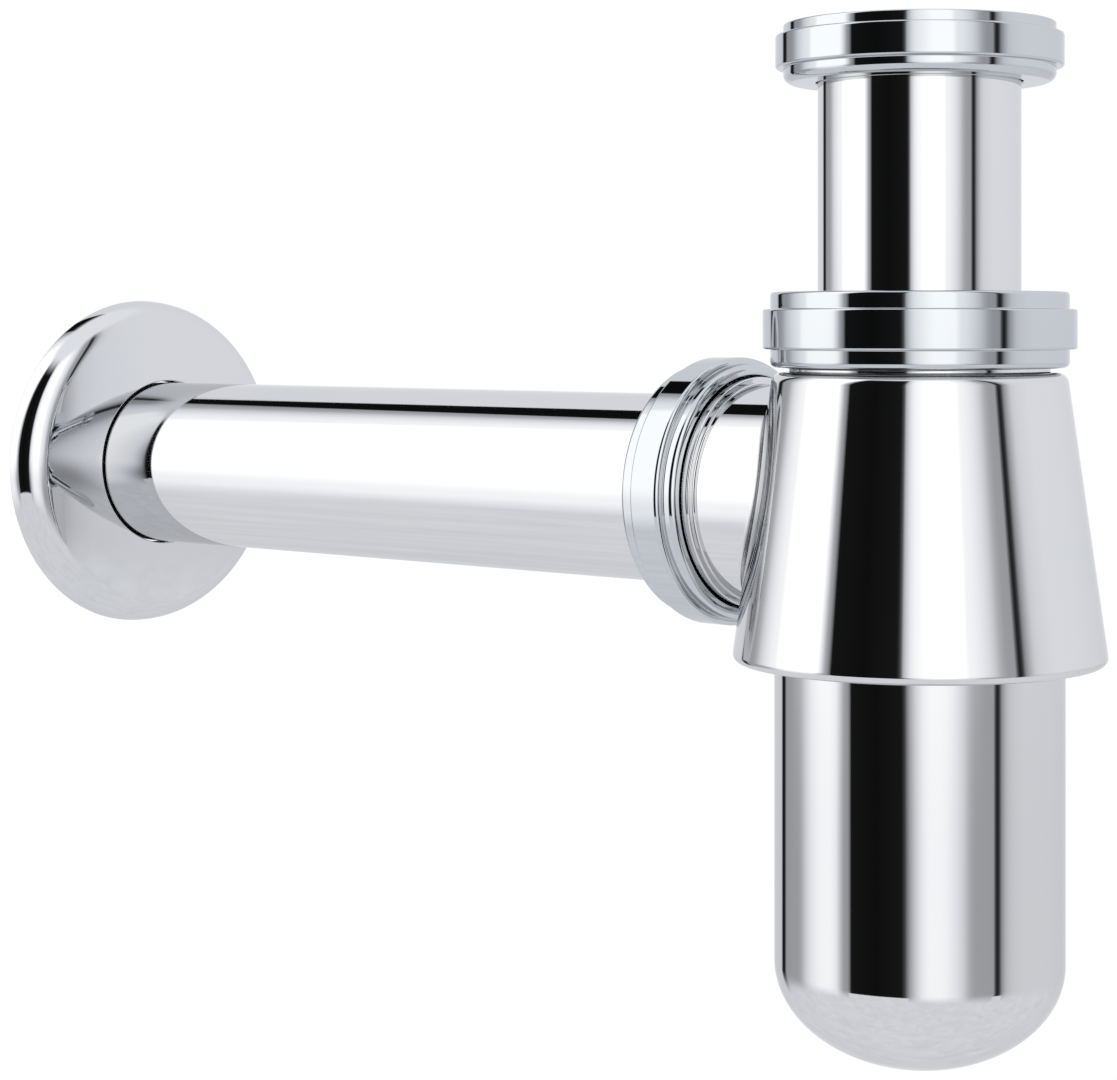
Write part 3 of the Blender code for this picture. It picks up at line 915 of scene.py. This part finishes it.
def trap_body():
    points, normals, faces = [], [], []

    def vertex(p, q, scale=1.0):
        points.append((p[0] * scale, p[1] * scale, p[2] * scale))
        normals.append(tuple(q))
        return len(points) - 1

    rows = body_rows()
    rings = []
    for row in rows:
        ring = []
        for i in range(ROUND):
            p, q = row_point("Z", row, 2 * math.pi * i / ROUND)
            ring.append(vertex(p, q))
        rings.append(ring)

    middle = ROUND // 2  # the column that points along -X
    left, right_ = middle - HALF_COLUMNS, middle + HALF_COLUMNS
    for k, ring in enumerate(rings):
        m = (k + 1) % len(rings)
        after = rings[m]
        both = rows[k].get("patch") and rows[k].get("patch") == rows[m].get("patch")
        for i in range(ROUND):
            if both and left <= i < right_:
                continue
            j = (i + 1) % ROUND
            faces.append((ring[i], ring[j], after[j], after[i]))

    def frame_of(side):
        """The open rectangle's edge on one wall, once round, by column and row."""
        picked = [ring for ring, row in zip(rings, rows) if row.get("patch") == side]
        if side == "inner":
            picked.reverse()
        edge = []
        top, bottom = picked[0], picked[-1]
        # seen from the wall, +Y is on the left: start at the top, on the +Y side
        edge += [top[i] for i in range(left, right_)]
        edge += [ring[right_] for ring in picked[:-1]]
        edge += [bottom[i] for i in range(right_, left, -1)]
        edge += [ring[left] for ring in reversed(picked[1:])]
        return edge

    outer_edge, inner_edge = frame_of("outer"), frame_of("inner")
    count = len(outer_edge)

    def bearing(p, middle_radius):
        """Angle of a place on a wall about the branch's axis, seen unrolled."""
        around = math.atan2(p[1], -p[0])
        return math.atan2(p[2] - OUTLET_Z, around * middle_radius)

    # the angle round the branch that each spoke meets
    samples = []
    for k in range(720):
        turn = 2 * math.pi * k / 720
        p, _ = fillet_section(turn, 1)[0]
        samples.append((bearing(p, 25.8), turn))
    samples.sort()

    def turn_for(angle):
        previous = (samples[-1][0] - 2 * math.pi, samples[-1][1])
        for sample in samples + [(samples[0][0] + 2 * math.pi, samples[0][1])]:
            if sample[0] >= angle:
                span = sample[0] - previous[0]
                step = (sample[1] - previous[1] + math.pi) % (2 * math.pi) - math.pi
                return previous[1] + step * ((angle - previous[0]) / span if span else 0.0)
            previous = sample
        return samples[0][1]

    turns = []
    for index in outer_edge:
        p = [v / MM for v in points[index]]
        turns.append(turn_for(bearing(p, 25.8)))

    def bridge(a, b):
        for i in range(count):
            j = (i + 1) % count
            faces.append((a[i], a[j], b[j], b[i]))

    def wall_patch(edge, loop_places, radius, out, steps):
        """Rings on the wall from the rectangle's edge in to the hole's edge. Returns the
        ring next to the hole, which lies on loop_places."""
        ring = edge
        for k in range(1, steps + 1):
            share = 1 - (1 - k / steps) ** 1.5
            fresh = []
            for i in range(count):
                a = [v / MM for v in points[edge[i]]]
                b = loop_places[i]
                ta, tb = math.atan2(a[1], -a[0]), math.atan2(b[1], -b[0])
                t, d = ta + (tb - ta) * share, -a[2] + (-b[2] + a[2]) * share
                p, q = wall_spot((-math.cos(t), math.sin(t), -d), radius, out)
                fresh.append(vertex(p, q, MM))
            bridge(ring, fresh)
            ring = fresh
        return ring

    FILLET_STEPS = 8
    sections = [fillet_section(t, FILLET_STEPS) for t in turns]
    ring = wall_patch(outer_edge, [s[0][0] for s in sections], cone_radius, 1.0, 8)
    for k in range(1, FILLET_STEPS + 1):
        fresh = [vertex(s[k][0], s[k][1], MM) for s in sections]
        bridge(ring, fresh)
        ring = fresh

    # along the branch: plain spigot, thread, mouth and bore
    branch = expand(
        [
            corner(10.0, 10.0, 0.0),
            corner(SPIGOT_R, 10.0, 0.0),
            corner(SPIGOT_R, 31.5, 0.35, 6),
            corner(19.1, 31.5, 0.3, 6),
            corner(19.1, 34.7, 0.2),
            corner(18.6, 35.0, 0.15),
            thread(18.6, 0.9, 35.1, 38.9, outside=True, lead=0.8),
            corner(18.6, 39.2, 0.06),
            corner(18.3, 39.2, 0.1),
            corner(17.6, 38.5, 0.1),
            corner(17.6, 36.1, 0.2),
            corner(16.4, 36.1, 0.2),
            corner(16.4, 29.0, 0.2),
            corner(PASSAGE_R, 29.0, 0.3),
            corner(PASSAGE_R, 10.0, 0.0),
        ]
    )
    start = next(k for k, row in enumerate(branch) if row["d"] > 25)
    end = max(k for k, row in enumerate(branch) if row["d"] > 25) + 1
    starts = [-points[v][0] / MM for v in ring]
    first = branch[start]["d"]
    for k in range(1, 4):
        fresh = []
        for i, turn in enumerate(turns):
            d = starts[i] + (first - starts[i]) * k / 4
            p, q = row_point("X", {"kind": "row", "r": SPIGOT_R, "d": d, "n": (1.0, 0.0)}, turn)
            fresh.append(vertex(p, q))
        bridge(ring, fresh)
        ring = fresh
    for row in branch[start:end]:
        fresh = []
        for turn in turns:
            p, q = row_point("X", row, turn)
            fresh.append(vertex(p, q))
        bridge(ring, fresh)
        ring = fresh

    # the passage runs in to the chamber's wall
    def passage_end(turn):
        y, z = PASSAGE_R * math.cos(turn), OUTLET_Z + PASSAGE_R * math.sin(turn)
        r = chamber_radius(-z)
        return (-math.sqrt(r * r - y * y), y, z)

    ends = [passage_end(t) for t in turns]
    last = branch[end - 1]["d"]
    for k in range(1, 4):
        fresh = []
        for i, turn in enumerate(turns):
            d = last + (-ends[i][0] - last) * k / 4
            p, q = row_point("X", {"kind": "row", "r": PASSAGE_R, "d": d, "n": (-1.0, 0.0)}, turn)
            fresh.append(vertex(p, q))
        bridge(ring, fresh)
        ring = fresh
    mouth = wall_patch(inner_edge, ends, chamber_radius, -1.0, 6)
    bridge(ring, mouth)
    return finish_mesh("body_casting", points, normals, faces)


settle(trap_body(), "trap_body", "trap_body", chrome("body_plate", shift=0.77))

# ---- cup and its seal -----------------------------------------------------------------------------------

settle(
    turned(
        "cup_gasket",
        [corner(21.7, 90.7, 0.25), corner(23.2, 90.7, 0.25), corner(23.2, 92.3, 0.25), corner(21.7, 92.3, 0.25)],
        segments=SMALL,
    ),
    "cup_seal", "cup_seal",
    rubber("cup_gasket_black", shift=1.1),
)

CUP_R, CUP_WALL = 22.85, 1.2
DOME_START, DOME_DEPTH = 147.6, 16.3


def half_ellipse(radius, depth, steps):
    return [
        (
            0.0 if k == steps else radius * math.cos(math.pi / 2 * k / steps),
            DOME_START + depth * math.sin(math.pi / 2 * k / steps),
        )
        for k in range(steps + 1)
    ]


settle(
    turned(
        "cup_shell",
        [
            corner(CUP_R - CUP_WALL, 92.6, 0.3),
            corner(23.0, 92.6, 0.3),
            thread(23.0, 0.85, 93.0, 98.9, outside=True, lead=0.8),
            corner(23.0, 99.4, 0.1),
            corner(CUP_R, 99.7, 0.3),
            curve(half_ellipse(CUP_R, DOME_DEPTH, 40)),
            curve(half_ellipse(CUP_R - CUP_WALL, DOME_DEPTH - CUP_WALL, 24)[::-1]),
        ],
    ),
    "cup", "cup",
    chrome("cup_plate", shift=1.3),
)

# ---- slip joint on the outlet branch ---------------------------------------------------------------------

settle(
    turned(
        "branch_nut",
        [
            corner(16.3, 44.2, 0.3),
            corner(21.15, 44.2, 0.9, 8),
            corner(21.15, 41.2, 0.16),
            corner(22.3, 41.2, 0.5, 6),
            corner(22.3, 35.4, 0.75, 8),
            corner(21.15, 35.4, 0.16),
            corner(21.15, 33.0, 1.0, 10),
            corner(19.4, 33.0, 0.25),
            corner(19.4, 33.5, 0.1),
            corner(19.8, 33.8, 0.1),
            thread(19.8, 0.9, 35.3, 40.8, outside=False),
            corner(19.8, 42.2, 0.2),
            corner(16.3, 42.2, 0.2),
        ],
        axis="X",
    ),
    "outlet_nut", "outlet_nut",
    chrome("branch_nut_plate", BLUE, axis="X", shift=1.5),
)

settle(
    turned(
        "branch_washer",
        [corner(16.4, 41.9, 0.2), corner(18.8, 41.9, 0.2), corner(18.8, 40.9, 0.2), corner(16.4, 40.9, 0.2)],
        axis="X",
        segments=SMALL,
    ),
    "outlet_thrust_washer", "outlet_nut_washer",
    plastic("branch_washer_white", shift=1.6),
)

settle(
    turned(
        "branch_seal",
        [
            corner(16.3, 40.6, 0.2),
            corner(18.0, 40.6, 0.3),
            corner(18.0, 39.5, 0.3),
            corner(17.25, 38.75, 0.3),
            corner(17.25, 36.4, 0.3),
            corner(16.3, 36.4, 0.2),
        ],
        axis="X",
        segments=SMALL,
    ),
    "outlet_wedge_seal", "outlet_seal",
    rubber("branch_seal_black", shift=1.7),
)

# ---- wall tube, grip ring and rosette ---------------------------------------------------------------------

settle(
    turned(
        "wall_pipe",
        [corner(15.0, 31.5, 0.2), corner(16.0, 31.5, 0.3), corner(16.0, 211.0, 0.3), corner(15.0, 211.0, 0.2)],
        axis="X",
    ),
    "wall_tube", "wall_tube",
    chrome("wall_pipe_plate", axis="X", shift=1.9, drawn=0.35),
)

settle(
    turned(
        "grip_collar",
        [corner(16.3, 185.0, 0.5), corner(19.1, 185.0, 0.5), corner(19.1, 188.1, 0.5), corner(16.3, 188.1, 0.5)],
        axis="X",
        segments=SMALL,
    ),
    "rosette_grip_ring", "grip_ring",
    rubber("grip_collar_black", shift=2.1),
)


def rosette_skin(sheet, arcs):
    """The pressed plate from the tube hole out to its rim, as three arcs: a face that falls
    gently, a rolled edge and a side wall that spreads slightly. sheet is the distance in from
    the outer skin; each arc gives its slopes in degrees, its length and its steps."""
    r, depth = 16.35, 183.4
    start = math.radians(arcs[0][0])
    points = [(16.35, depth + sheet * math.cos(start))]
    for first, last, run, steps in arcs:
        start, end = math.radians(first), math.radians(last)
        bend = run / (end - start)
        for k in range(1, steps + 1):
            turn = start + (end - start) * k / steps
            points.append(
                (
                    r + bend * (math.sin(turn) - math.sin(start)) - sheet * math.sin(turn),
                    depth + bend * (math.cos(start) - math.cos(turn)) + sheet * math.cos(turn),
                )
            )
        r += bend * (math.sin(end) - math.sin(start))
        depth += bend * (math.cos(start) - math.cos(end))
    points[-1] = (r - sheet, depth)
    return points


skin = rosette_skin(0.0, ((5.0, 14.0, 11.9, 20), (14.0, 76.0, 6.2, 24), (76.0, 86.0, 2.2, 6)))
lining = rosette_skin(0.9, ((5.0, 14.0, 11.9, 12), (14.0, 76.0, 6.2, 12), (76.0, 86.0, 2.2, 4)))
settle(
    turned(
        "rosette_shell",
        [
            corner(skin[0][0], skin[0][1], 0.22),
            curve(skin[1:-1]),
            corner(skin[-1][0], skin[-1][1], 0.25),
            corner(lining[-1][0], lining[-1][1], 0.25),
            curve(lining[-2:0:-1]),
            corner(lining[0][0], lining[0][1], 0.15),
        ],
        axis="X",
    ),
    "wall_rosette", "rosette",
    chrome("rosette_plate", (0.672, 0.676, 0.682), axis="X", shift=2.3),
)
